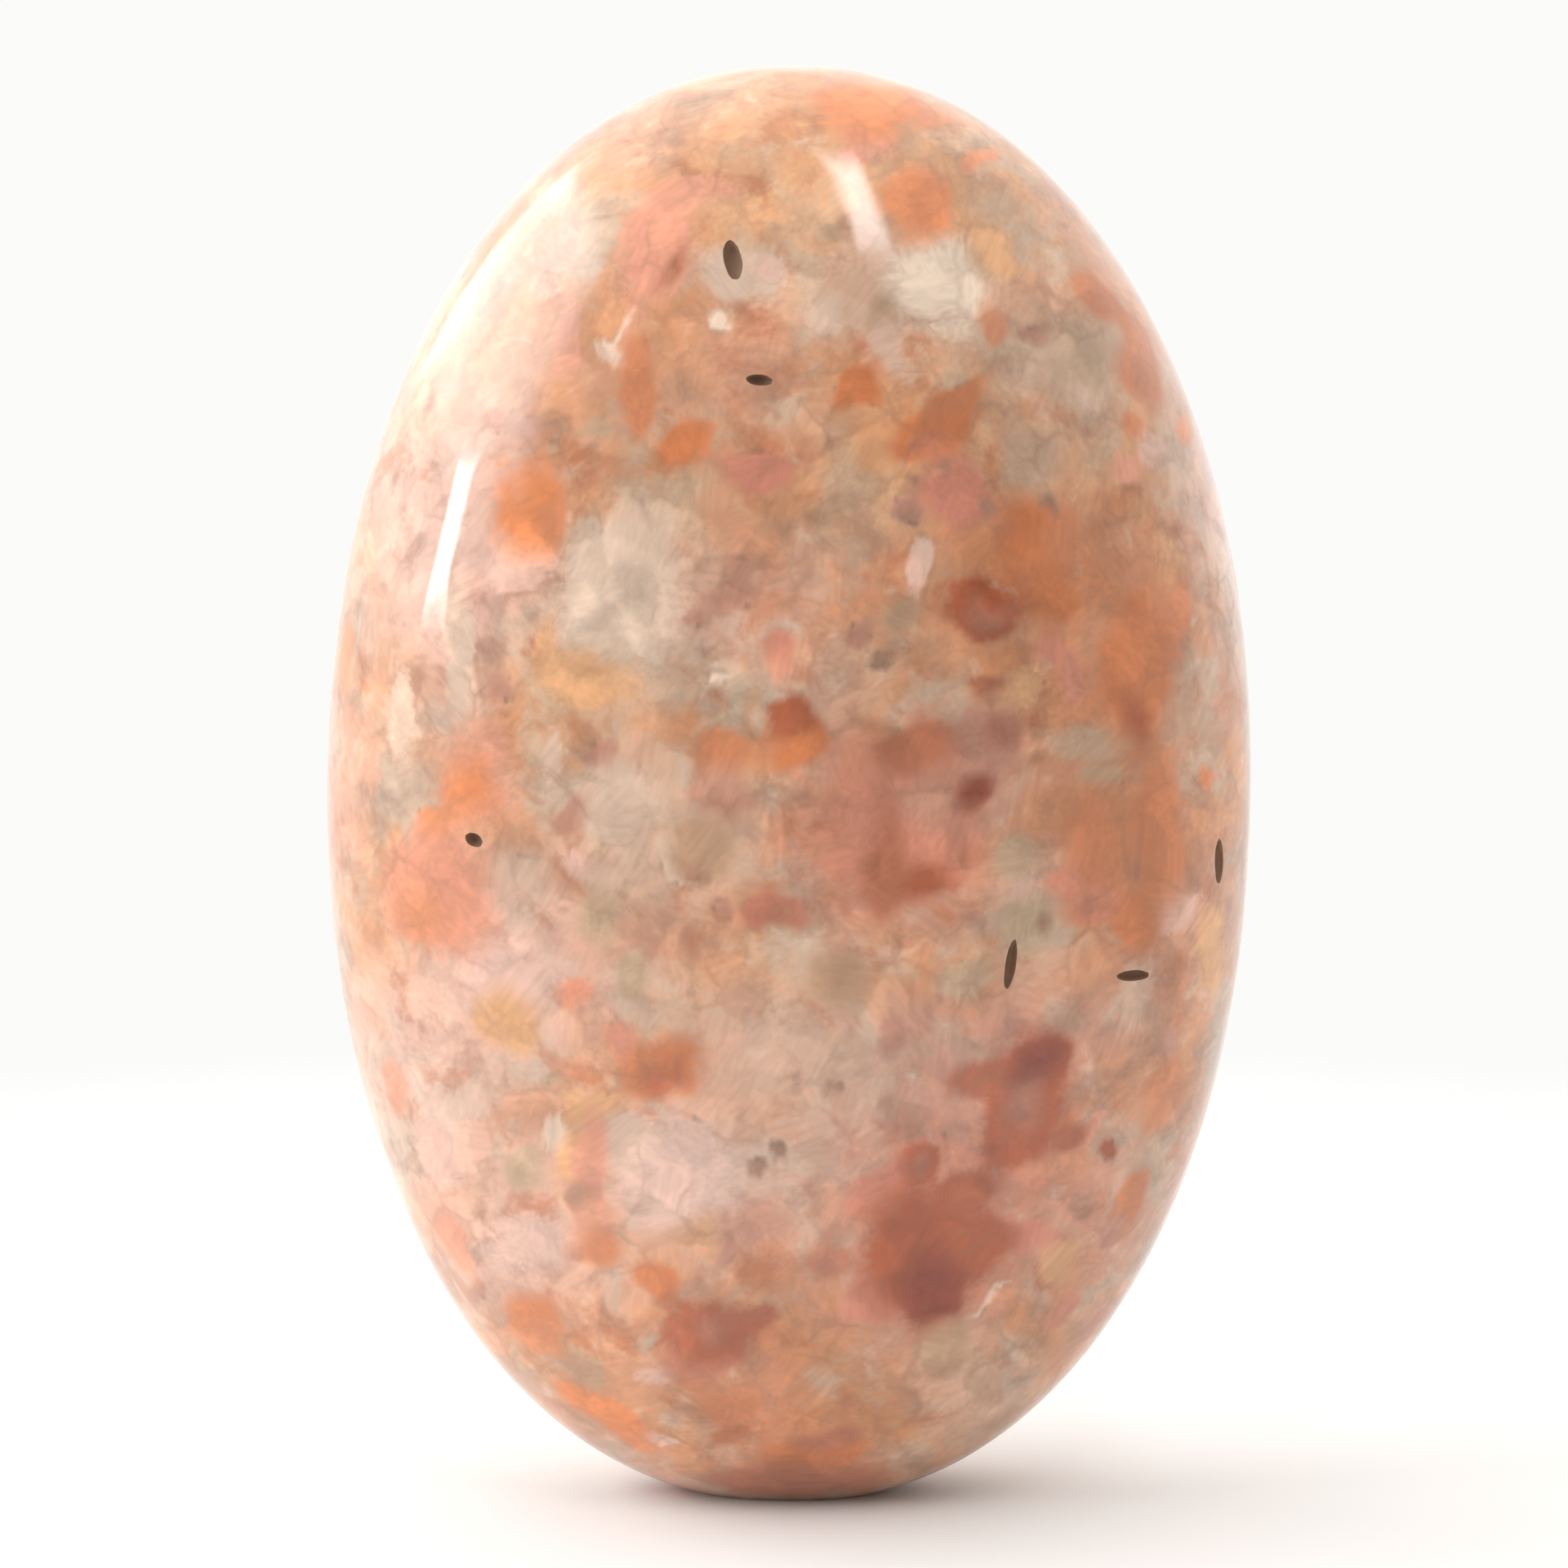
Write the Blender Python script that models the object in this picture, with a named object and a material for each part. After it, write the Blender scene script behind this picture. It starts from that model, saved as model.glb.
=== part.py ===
"""Polished sunstone palm stone, standing on the small flat spot at its lower end.

The stone formed as one piece, so it is one solid. Units are metres and +Z is up. The front looks
along -Y, with +X to its right. The origin is on the surface that the stone stands on, under the
middle of its outline.
"""

import math

import bmesh
import bpy
from mathutils import Matrix, Vector
from mathutils.bvhtree import BVHTree

# Overall size of the finished stone, from the flat spot to the crown
HEIGHT = 0.0660
WIDTH = 0.0423
THICKNESS = 0.0250

# What the flat spot takes off the lower end of the full oval
FOOT_CUT = 0.0005

# Shape of the oval: a power of 2 is a true ellipse, and more is fuller
OUTLINE_POWER = 2.14
PROFILE_POWER = 2.25
LEAN = math.radians(0.7)

# Low swells that hand grinding leaves: direction, waves across the stone, height and phase
SWELLS = (
    ((0.8, 0.5, 0.3), 0.9, 0.00012, 0.6),
    ((0.2, -0.7, 0.7), 1.3, 0.00009, 2.1),
    ((-0.6, 0.1, 0.8), 1.9, 0.00006, 4.0),
    ((0.5, 0.8, -0.4), 2.6, 0.00004, 5.2),
)

# Small natural pits that polishing opened, as x, z, width, length and turn on the face, in
# millimetres and degrees; the front's are where they show, and the back has a few like them
FRONT_PITS = (
    (-2.5, 57.8, 0.8, 1.9, 12.0),
    (-1.3, 52.6, 0.5, 1.2, 84.0),
    (-14.1, 31.9, 0.6, 0.9, 70.0),
    (19.5, 30.3, 0.7, 2.1, 3.0),
    (15.5, 25.6, 0.5, 1.8, 87.0),
    (9.9, 26.5, 0.5, 2.3, -8.0),
)
BACK_PITS = (
    (6.5, 46.0, 0.7, 1.7, 35.0),
    (-9.0, 21.5, 0.5, 2.0, -60.0),
    (3.0, 11.5, 0.6, 1.1, 10.0),
)
PIT_DEPTH = 0.0004
MM = 0.001

# Fineness of the mesh, and how near two points on the flat spot's rim are before they become one
ICOSPHERE_STEPS = 5
SLIVER = 0.00025

STONE_COLOUR = (0.545, 0.262, 0.171, 1.0)


def clear_scene():
    for obj in list(bpy.data.objects):
        bpy.data.objects.remove(obj)


def swell_along(direction):
    """How far the surface rises or falls along a direction from the middle of the stone."""
    total = 0.0
    for travel, waves, height, phase in SWELLS:
        along = direction.dot(Vector(travel).normalized())
        total += height * math.sin(math.pi * waves * along + phase)
    return total


def surface_point(direction):
    """Point of the full oval along a unit direction of the sphere that it is stretched from."""
    outline = abs(direction.x) ** OUTLINE_POWER + abs(direction.z) ** OUTLINE_POWER
    profile = outline ** (PROFILE_POWER / OUTLINE_POWER) + abs(direction.y) ** PROFILE_POWER
    reach = profile ** (-1.0 / PROFILE_POWER)
    half_height = (HEIGHT + FOOT_CUT) / 2
    point = Vector((
        direction.x * WIDTH / 2,
        direction.y * THICKNESS / 2,
        direction.z * half_height,
    )) * reach
    return point + point.normalized() * swell_along(direction)


def middle_of_box(bm):
    """Middle of the mesh's box in X and Y, and the box's lowest Z."""
    lows = [min(vert.co[axis] for vert in bm.verts) for axis in range(3)]
    highs = [max(vert.co[axis] for vert in bm.verts) for axis in range(3)]
    return Vector(((lows[0] + highs[0]) / 2, (lows[1] + highs[1]) / 2, lows[2]))


def shape_oval(bm):
    """The full oval, leaning a little, with its lowest point FOOT_CUT under the origin."""
    bmesh.ops.create_icosphere(bm, subdivisions=ICOSPHERE_STEPS, radius=1.0)
    for vert in bm.verts:
        vert.co = surface_point(vert.co.normalized())
    bmesh.ops.rotate(bm, verts=bm.verts, matrix=Matrix.Rotation(LEAN, 3, "Y"))
    bmesh.ops.translate(bm, verts=bm.verts, vec=-middle_of_box(bm))
    bmesh.ops.translate(bm, verts=bm.verts, vec=(0, 0, -FOOT_CUT))


def grind_foot(bm):
    """Cuts the lower end off flat at the origin's height, which leaves the spot it stands on."""
    cut = bmesh.ops.bisect_plane(
        bm,
        geom=bm.verts[:] + bm.edges[:] + bm.faces[:],
        plane_co=(0, 0, 0),
        plane_no=(0, 0, 1),
        clear_inner=True,
    )
    rim = [item for item in cut["geom_cut"] if isinstance(item, bmesh.types.BMVert)]
    bmesh.ops.remove_doubles(bm, verts=rim, dist=SLIVER)
    open_edges = [edge for edge in bm.edges if edge.is_boundary]
    bmesh.ops.contextual_create(bm, geom=open_edges)


def pit_cutter(stone_bm):
    """One mesh with a small ellipsoid sunk into the face at each pit."""
    surface = BVHTree.FromBMesh(stone_bm)
    cutter_bm = bmesh.new()
    for pits, side in ((FRONT_PITS, -1), (BACK_PITS, 1)):
        for x, z, width, length, turn in pits:
            start = Vector((x * MM, side * THICKNESS, z * MM))
            place, normal, _, _ = surface.ray_cast(start, Vector((0, -side, 0)))
            matrix = (
                Matrix.Translation(place)
                @ normal.to_track_quat("Z", "Y").to_matrix().to_4x4()
                @ Matrix.Rotation(math.radians(turn), 4, "Z")
                @ Matrix.Diagonal((width / 2 * MM, length / 2 * MM, PIT_DEPTH, 1.0))
            )
            bmesh.ops.create_icosphere(cutter_bm, subdivisions=2, radius=1.0, matrix=matrix)
    mesh = bpy.data.meshes.new("pit_cutter")
    cutter_bm.to_mesh(mesh)
    cutter_bm.free()
    cutter = bpy.data.objects.new("pit_cutter", mesh)
    bpy.context.scene.collection.objects.link(cutter)
    cutter.hide_render = True
    cutter.display_type = "WIRE"
    return cutter


def stone_material():
    """Polished peach and orange feldspar."""
    material = bpy.data.materials.new("polished_sunstone")
    material.use_nodes = True
    shader = material.node_tree.nodes["Principled BSDF"]
    shader.inputs["Base Color"].default_value = STONE_COLOUR
    shader.inputs["Roughness"].default_value = 0.15
    shader.inputs["Metallic"].default_value = 0.0
    return material


def build_stone():
    bm = bmesh.new()
    shape_oval(bm)
    grind_foot(bm)
    bmesh.ops.translate(bm, verts=bm.verts, vec=-middle_of_box(bm))
    bmesh.ops.recalc_face_normals(bm, faces=bm.faces)
    cutter = pit_cutter(bm)
    mesh = bpy.data.meshes.new("sunstone")
    bm.to_mesh(mesh)
    bm.free()
    mesh.shade_smooth()
    mesh.set_sharp_from_angle(angle=math.radians(30))
    mesh.materials.append(stone_material())
    stone = bpy.data.objects.new("sunstone", mesh)
    bpy.context.scene.collection.objects.link(stone)
    pits = stone.modifiers.new("pits", "BOOLEAN")
    pits.operation = "DIFFERENCE"
    pits.solver = "EXACT"
    pits.object = cutter


clear_scene()
build_stone()
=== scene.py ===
"""Looks of the polished sunstone palm stone: its fine surface, its markings and a soft light studio.

Units are metres. The front looks along -Y with +X to its right, as in the model that it dresses.
"""

import math
import random

import bpy
import numpy as np
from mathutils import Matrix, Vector, noise
from mathutils.bvhtree import BVHTree


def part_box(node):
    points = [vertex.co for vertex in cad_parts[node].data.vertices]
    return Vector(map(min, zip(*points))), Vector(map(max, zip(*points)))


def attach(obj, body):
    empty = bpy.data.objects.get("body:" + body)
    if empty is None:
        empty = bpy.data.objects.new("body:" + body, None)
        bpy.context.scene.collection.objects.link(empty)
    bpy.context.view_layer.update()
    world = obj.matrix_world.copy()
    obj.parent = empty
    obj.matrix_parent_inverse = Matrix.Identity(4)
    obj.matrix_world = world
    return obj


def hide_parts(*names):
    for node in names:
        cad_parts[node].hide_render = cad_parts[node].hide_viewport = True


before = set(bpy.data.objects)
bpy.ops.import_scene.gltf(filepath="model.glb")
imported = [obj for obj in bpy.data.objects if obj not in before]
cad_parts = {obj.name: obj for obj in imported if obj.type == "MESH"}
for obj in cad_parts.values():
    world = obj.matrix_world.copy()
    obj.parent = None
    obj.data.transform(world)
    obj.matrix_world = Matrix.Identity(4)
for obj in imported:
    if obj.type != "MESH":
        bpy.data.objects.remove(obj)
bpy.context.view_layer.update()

MM = 0.001
NODE = "sunstone"
BOX_LOW, BOX_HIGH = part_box(NODE)

# Shape of the oval as it was ground: what the flat spot takes off, its fullness, lean and swells
FOOT_CUT = 0.0005
OUTLINE_POWER = 2.14
PROFILE_POWER = 2.25
LEAN = math.radians(0.7)
SWELLS = (
    ((0.8, 0.5, 0.3), 0.9, 0.00012, 0.6),
    ((0.2, -0.7, 0.7), 1.3, 0.00009, 2.1),
    ((-0.6, 0.1, 0.8), 1.9, 0.00006, 4.0),
    ((0.5, 0.8, -0.4), 2.6, 0.00004, 5.2),
)
FINENESS = 7

# A block under the origin's height, which grinds the flat spot
GROUND_BLOCK = 0.1

# Polishing wears the softer grains a little lower than the harder ones, which breaks up the gloss
RIPPLE_SPACING = 0.0032
RIPPLE_DEPTH = 0.00004

# Natural pits that polishing opened: x, z, width, length and turn in millimetres and degrees
FRONT_PITS = (
    (-2.5, 57.8, 0.8, 1.9, 12.0),
    (-1.3, 52.6, 0.5, 1.2, 84.0),
    (-14.1, 31.9, 0.6, 0.9, 70.0),
    (19.5, 30.3, 0.7, 2.1, 3.0),
    (15.5, 25.6, 0.5, 1.8, 87.0),
    (9.9, 26.5, 0.5, 2.3, -8.0),
)
BACK_PITS = (
    (6.5, 46.0, 0.7, 1.7, 35.0),
    (-9.0, 21.5, 0.5, 2.0, -60.0),
    (3.0, 11.5, 0.6, 1.1, 10.0),
)
PIT_DEPTH = 0.0004
PIT_RAGGEDNESS = 0.3
# What a pit's place carries while the stone is shaped, and the finished mesh doesn't need
PIT_NOTES = ("half_width", "half_length", "turn", "outwards")

# The camera looks down on the middle of the stone from its front; the offset frames the stone
STONE_MIDDLE = Vector((0.0, 0.0, 0.033))
LOOK_DOWN = math.radians(8.0)
CAMERA_DISTANCE = 0.350
LENS_MM = 174.6
SENSOR_MM = 36.0
OFFSET_ACROSS = -0.000218
OFFSET_UP = 0.000056
ACROSS = Vector((1.0, 0.0, 0.0))
INTO = Vector((0.0, math.cos(LOOK_DOWN), -math.sin(LOOK_DOWN)))
UP = Vector((0.0, math.sin(LOOK_DOWN), math.cos(LOOK_DOWN)))
EYE = STONE_MIDDLE - INTO * CAMERA_DISTANCE

# Colours of the stone's minerals, in plain light; the rust also paints shade along the foot, and the cream
# paints two highlights
DEEP_RUST = "8a3d27"
RUST_AND_FOOT_SHADE = "a9542f"
BROWN_ORANGE = "cc7845"
ORANGE = "e28a54"
CORAL = "e59a7c"
OCHRE = "dfa977"
ROSE = "cf8069"
MAUVE = "b98470"
CREAM_AND_HIGHLIGHT = "ecd6c0"
GREY = "d8bfaa"
OLIVE = "b39a78"
GREEN_GREY = "bba88b"
PINK = "e8c3b4"
SPECK = "7d5f4c"

# Broad soft clouds of colour in the stone, seen from the front: across, up, width and height in
# millimetres, lean of the height to the right in degrees, and strength
CLOUDS = (
    (OCHRE, ((3.0, 61.0, 18.0, 8.0, 0.0, 0.5), (9.0, 48.0, 16.0, 12.0, 0.0, 0.4),
             (-4.0, 46.0, 10.0, 8.0, 0.0, 0.3), (-10.0, 38.0, 8.0, 6.0, 0.0, 0.3))),
    (BROWN_ORANGE, ((11.0, 42.5, 9.0, 7.0, 20.0, 0.7), (15.5, 37.0, 6.0, 13.0, 5.0, 0.5),
                    (16.0, 29.0, 6.0, 8.0, 0.0, 0.5), (-1.0, 5.0, 12.0, 5.0, 80.0, 0.4))),
    (ROSE, ((5.0, 31.0, 9.0, 8.0, 0.0, 0.7), (8.0, 15.0, 12.0, 14.0, 35.0, 0.6),
            (-1.0, 42.0, 8.0, 6.0, 0.0, 0.35))),
    (PINK, ((-16.0, 44.0, 8.0, 12.0, 0.0, 0.7), (-13.0, 24.0, 10.0, 8.0, 0.0, 0.6),
            (-12.0, 12.0, 9.0, 8.0, 0.0, 0.6), (-5.0, 15.0, 7.0, 6.0, 0.0, 0.6),
            (-17.0, 20.0, 6.0, 10.0, 0.0, 0.5))),
    (GREY, ((-7.5, 41.0, 7.0, 8.0, 20.0, 0.6), (-7.0, 30.5, 9.0, 6.0, 0.0, 0.6),
            (12.5, 52.0, 6.0, 6.0, 0.0, 0.6), (5.0, 55.5, 9.0, 5.0, 0.0, 0.5),
            (0.5, 21.0, 8.0, 9.0, 0.0, 0.45), (11.0, 27.0, 5.0, 5.0, 0.0, 0.5),
            (9.0, 4.5, 8.0, 5.0, 60.0, 0.5), (2.0, 38.5, 6.0, 4.0, 0.0, 0.4))),
)

# Stains of iron oxide and paler grains, given in the same way. Among them are a rust band of painted shade
# along the foot and two cream spots of painted highlight
STAINS_AND_PAINTED_LIGHT = (
    (OLIVE, (
        (-9.1, 49.4, 1.6, 1.2, 0.0, 0.6), (-11.0, 48.4, 1.0, 1.0, 0.0, 0.6),
        (5.1, 40.9, 1.6, 1.6, 0.0, 0.5), (14.4, 33.3, 2.0, 1.0, 0.0, 0.6),
        (2.2, 24.0, 3.0, 2.5, 0.0, 0.45), (-9.4, 6.1, 2.5, 1.5, 60.0, 0.5),
        (7.3, 7.2, 3.0, 2.0, 60.0, 0.6), (-11.1, 19.3, 1.2, 0.8, 0.0, 0.8),
        (5.1, 62.5, 1.2, 1.0, 0.0, 0.5), (4.4, 54.5, 1.5, 2.0, 0.0, 0.6),
        (-4.1, 30.0, 2.4, 2.4, 0.0, 0.5), (10.4, 3.4, 3.0, 2.0, 60.0, 0.4),
    )),
    (GREEN_GREY, (
        (10.9, 26.5, 3.0, 2.6, 0.0, 0.8), (-8.9, 27.3, 3.2, 1.8, 80.0, 0.6),
        (8.2, 24.0, 2.6, 1.8, 0.0, 0.6), (14.1, 34.9, 4.0, 1.6, 0.0, 0.5),
        (10.6, 29.7, 2.4, 2.6, 0.0, 0.6), (13.5, 52.3, 3.4, 4.0, 0.0, 0.6),
        (11.3, 47.9, 2.4, 2.8, 0.0, 0.5), (-12.0, 15.5, 1.8, 2.0, 0.0, 0.6),
        (-7.2, 24.3, 1.5, 2.0, 10.0, 0.7), (-20.2, 22.6, 0.8, 1.0, 0.0, 0.8),
    )),
    (GREY, (
        (-7.9, 42.0, 5.0, 6.4, 25.0, 0.9), (1.6, 54.7, 2.0, 1.8, 0.0, 0.7),
        (-2.2, 56.6, 3.2, 2.6, 0.0, 0.8), (2.5, 37.8, 1.5, 1.5, 0.0, 0.6),
        (-7.9, 32.2, 3.5, 3.0, 0.0, 0.8), (-12.5, 28.9, 2.0, 1.6, 0.0, 0.6),
        (-7.0, 16.7, 2.2, 2.0, 0.0, 0.7), (16.1, 23.4, 3.0, 1.8, 80.0, 0.5),
        (-8.8, 29.2, 2.6, 1.4, 0.0, 0.6), (13.6, 50.6, 2.0, 1.2, 0.0, 0.6),
        (-11.1, 34.4, 2.5, 0.9, 90.0, 0.7), (4.9, 52.9, 2.4, 1.6, 60.0, 0.5),
    )),
    (CREAM_AND_HIGHLIGHT, (
        (7.0, 56.0, 4.2, 3.2, 20.0, 0.95), (-3.2, 54.4, 0.9, 0.8, 0.0, 0.8),
        # The two spots on the next line are painted highlight: pale bits of the window's reflection, laid
        # on as cream
        (-7.6, 54.4, 0.7, 1.6, 20.0, 0.7), (-8.5, 52.9, 1.5, 1.4, 0.0, 0.7),
        (-9.2, 41.2, 0.8, 2.2, 30.0, 0.8), (-7.3, 40.2, 0.7, 1.8, -25.0, 0.8),
        (-15.0, 39.0, 1.4, 6.0, 0.0, 0.6), (-3.4, 37.7, 0.8, 1.0, 0.0, 0.7),
        (-11.1, 17.1, 1.2, 1.5, 0.0, 0.7), (-5.1, 29.2, 0.4, 1.8, -30.0, 0.7),
        (8.4, 8.6, 0.7, 1.0, 40.0, 0.6), (9.3, 9.7, 0.5, 2.4, 50.0, 0.6),
        (-17.9, 36.0, 1.2, 4.0, 0.0, 0.5), (5.9, 43.4, 1.0, 1.4, 0.0, 0.6),
    )),
    (PINK, (
        (-13.2, 43.1, 2.2, 4.0, 80.0, 0.6), (-13.2, 24.5, 3.4, 3.4, 0.0, 0.8),
        (-5.0, 15.0, 4.6, 4.4, 0.0, 0.9), (-11.7, 12.0, 4.0, 3.0, 0.0, 0.8),
        (-10.0, 29.5, 1.6, 1.2, 0.0, 0.6), (17.9, 27.4, 3.0, 2.0, 0.0, 0.5),
        (16.9, 48.4, 2.0, 1.6, 0.0, 0.5), (5.7, 42.8, 1.3, 1.8, 0.0, 0.7),
        (-4.5, 17.4, 1.6, 1.2, 0.0, 0.7), (11.0, 28.1, 1.6, 1.0, 0.0, 0.6),
        (-6.2, 5.8, 1.8, 1.2, 0.0, 0.5), (-5.9, 2.8, 1.4, 1.0, 0.0, 0.7),
        (-16.3, 16.0, 1.6, 3.4, -15.0, 0.6), (-1.0, 56.9, 1.2, 1.0, 0.0, 0.6),
    )),
    (OCHRE, (
        (9.2, 57.6, 2.2, 2.0, 0.0, 0.8), (-11.1, 39.1, 1.1, 2.0, 0.0, 0.7),
        (-9.4, 37.8, 1.8, 4.0, 90.0, 0.8), (-9.0, 18.4, 1.4, 3.0, 90.0, 0.8),
        (-10.3, 16.1, 0.7, 2.6, 0.0, 0.8), (10.7, 37.1, 1.8, 2.0, 0.0, 0.6),
        (-13.2, 22.0, 2.8, 3.0, 90.0, 0.8), (12.3, 11.3, 2.0, 2.0, 0.0, 0.6),
        (17.3, 42.7, 1.8, 3.0, 0.0, 0.7), (19.5, 25.6, 1.4, 4.0, 0.0, 0.8),
        (-5.9, 7.0, 1.0, 1.4, 90.0, 0.8), (5.9, 61.7, 2.4, 1.2, 30.0, 0.6),
        (-4.4, 12.1, 2.0, 2.5, 90.0, 0.4), (-2.5, 59.7, 1.6, 2.4, 80.0, 0.6),
    )),
    (CORAL, (
        (-5.9, 57.9, 3.2, 5.2, 25.0, 0.8), (-3.8, 60.7, 1.2, 2.6, 80.0, 0.7),
        (-10.6, 53.4, 1.2, 3.5, 5.0, 0.6), (-16.3, 28.0, 5.2, 5.0, 0.0, 0.9),
        (-10.0, 24.0, 1.8, 1.6, 0.0, 0.9), (-9.0, 16.0, 1.6, 4.0, 0.0, 0.8),
        (-15.4, 12.0, 1.4, 3.2, -20.0, 0.7), (-18.2, 19.0, 1.4, 2.6, 0.0, 0.6),
        (15.4, 47.5, 1.8, 1.4, 0.0, 0.6), (3.2, 62.5, 2.0, 1.8, 0.0, 0.7),
        (14.1, 17.3, 0.9, 2.0, 40.0, 0.7), (-8.8, 13.6, 2.0, 1.8, 0.0, 0.5),
        (-14.4, 33.6, 3.0, 4.4, 0.0, 0.5), (-0.7, 38.5, 1.4, 1.6, 0.0, 0.5),
    )),
    (ORANGE, (
        (-11.9, 45.8, 3.1, 3.6, 0.0, 1.0), (3.8, 64.3, 2.4, 5.0, 78.0, 0.95),
        (6.7, 63.5, 1.2, 2.6, 70.0, 0.7), (8.8, 62.0, 0.9, 2.6, 50.0, 0.7),
        (6.0, 59.8, 2.8, 3.2, 10.0, 0.9), (-14.8, 32.8, 1.9, 2.2, 10.0, 0.95),
        (-16.1, 31.2, 1.5, 2.4, 80.0, 0.7), (18.2, 49.3, 1.6, 1.6, 0.0, 0.8),
        (19.5, 33.7, 1.5, 1.5, 0.0, 0.9), (-12.0, 8.3, 2.4, 3.2, 70.0, 0.9),
        (-11.1, 7.2, 1.8, 2.0, 0.0, 0.7), (-8.8, 4.5, 1.6, 3.6, -70.0, 1.0),
        (-7.6, 3.5, 1.9, 2.4, -60.0, 1.0), (-6.7, 2.6, 1.2, 1.6, -70.0, 0.8),
        (9.5, 54.4, 1.2, 2.0, 0.0, 0.5), (-16.9, 27.2, 2.4, 2.6, 0.0, 0.6),
        (-20.3, 39.3, 0.9, 3.0, 0.0, 0.7),
    )),
    (BROWN_ORANGE, (
        (-4.7, 48.4, 1.9, 3.0, 75.0, 0.95), (-7.0, 51.6, 1.7, 4.0, 5.0, 0.75),
        (3.4, 51.2, 1.2, 2.3, 60.0, 1.0), (6.7, 49.6, 1.7, 4.8, 78.0, 1.0),
        (7.6, 51.0, 1.4, 3.0, 65.0, 0.8), (14.1, 55.7, 2.2, 2.3, 0.0, 0.85),
        (15.5, 54.2, 1.3, 2.0, -30.0, 0.9), (16.1, 52.4, 2.2, 3.4, -15.0, 0.8),
        (15.8, 49.7, 1.0, 1.5, 0.0, 0.8), (10.7, 44.5, 2.6, 3.0, 0.0, 0.95),
        (12.2, 41.6, 2.2, 3.2, 0.0, 0.9), (16.2, 38.6, 3.0, 7.0, 8.0, 0.9),
        (17.9, 41.2, 1.4, 2.2, 0.0, 0.8), (17.0, 30.9, 2.1, 6.0, 0.0, 0.8),
        (14.1, 29.5, 2.4, 5.0, 0.0, 0.7), (16.0, 26.8, 2.2, 3.0, 0.0, 0.85),
        (0.5, 34.7, 1.9, 2.6, 80.0, 0.9), (-5.9, 9.9, 1.6, 1.8, 0.0, 0.9),
        (-2.8, 4.2, 2.0, 3.0, 80.0, 0.7), (1.5, 2.1, 1.5, 5.0, 88.0, 0.9),
        (17.2, 19.0, 1.8, 3.0, 10.0, 0.7), (15.8, 13.9, 1.4, 3.6, 20.0, 0.8),
        (-4.3, 5.7, 1.5, 1.6, 0.0, 0.7), (-5.7, 20.0, 2.7, 3.2, 70.0, 0.9),
        (-11.0, 45.2, 1.3, 1.6, 0.0, 0.7), (-8.9, 11.7, 2.4, 2.4, 0.0, 0.7),
        (-2.7, 34.4, 1.4, 2.4, 80.0, 0.7), (12.5, 44.6, 1.6, 2.0, 0.0, 0.7),
    )),
    (ROSE, (
        (-1.5, 47.4, 1.8, 3.0, 80.0, 0.8), (7.6, 46.8, 3.0, 3.2, 0.0, 0.85),
        (-0.7, 39.7, 1.6, 1.5, 0.0, 0.7), (-1.2, 27.1, 1.6, 2.2, 70.0, 0.9),
        (0.3, 26.8, 1.4, 1.6, 0.0, 0.7), (5.2, 30.6, 5.6, 5.0, 0.0, 0.7),
        (3.7, 14.5, 1.9, 3.0, 80.0, 0.8), (10.9, 12.3, 1.4, 3.0, 80.0, 0.8),
        (3.4, 8.9, 2.4, 2.4, 0.0, 0.7), (-8.9, 15.3, 1.2, 2.4, 0.0, 0.4),
        (12.8, 28.1, 1.4, 1.6, 0.0, 0.7), (14.2, 27.5, 1.5, 2.0, 80.0, 0.7),
        (-7.5, 21.4, 1.4, 1.4, 0.0, 0.6), (12.3, 38.7, 1.1, 1.8, 80.0, 0.7),
        (13.3, 37.7, 1.2, 1.8, 0.0, 0.6), (12.3, 8.6, 1.1, 2.4, 20.0, 0.6),
        (-4.3, 6.9, 2.6, 3.4, 80.0, 0.5),
    )),
    (MAUVE, (
        (9.0, 34.6, 3.0, 3.6, 60.0, 0.85), (-3.0, 32.6, 2.0, 2.4, 60.0, 0.5),
        (5.2, 45.6, 1.2, 1.5, 90.0, 0.8), (-12.9, 49.5, 1.2, 2.6, 90.0, 0.5),
        (-13.2, 37.5, 1.2, 1.2, 0.0, 0.7), (-8.8, 34.4, 1.3, 1.9, 80.0, 0.7),
        (-10.4, 31.7, 1.2, 2.3, 50.0, 0.7), (-4.5, 40.9, 0.9, 1.3, 70.0, 0.8),
        (-2.8, 41.9, 1.0, 2.0, 80.0, 0.7), (-2.5, 43.1, 0.9, 1.2, 80.0, 0.6),
        (-1.0, 13.0, 1.4, 2.4, 80.0, 0.6), (4.7, 21.5, 1.2, 2.1, 25.0, 0.9),
        (11.3, 53.9, 0.8, 1.6, 80.0, 0.7), (-3.1, 27.5, 0.9, 1.0, 0.0, 0.8),
        (6.3, 32.2, 2.0, 3.4, 85.0, 0.6), (14.6, 12.3, 1.1, 1.8, 60.0, 0.6),
        (-14.4, 9.7, 1.0, 1.1, 0.0, 0.6), (3.2, 40.2, 0.8, 1.6, 35.0, 0.8),
        (17.6, 21.4, 1.2, 1.8, 0.0, 0.5), (-3.0, 12.1, 0.9, 2.4, 5.0, 0.8),
        (10.4, 22.4, 1.1, 1.1, 0.0, 0.6), (7.9, 17.1, 1.3, 1.5, 0.0, 0.7),
    )),
    (RUST_AND_FOOT_SHADE, (
        (0.0, 36.0, 1.5, 2.5, 80.0, 0.9), (8.8, 41.0, 2.1, 3.6, 85.0, 1.0),
        (5.9, 34.7, 2.0, 3.0, 80.0, 0.7), (4.4, 29.6, 1.4, 5.0, 0.0, 0.7),
        (6.2, 28.7, 1.8, 2.4, 80.0, 0.9), (11.1, 19.4, 3.4, 4.4, 0.0, 1.0),
        (10.5, 17.0, 3.2, 3.0, 0.0, 0.95), (8.8, 19.6, 1.8, 2.8, 85.0, 0.85),
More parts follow.
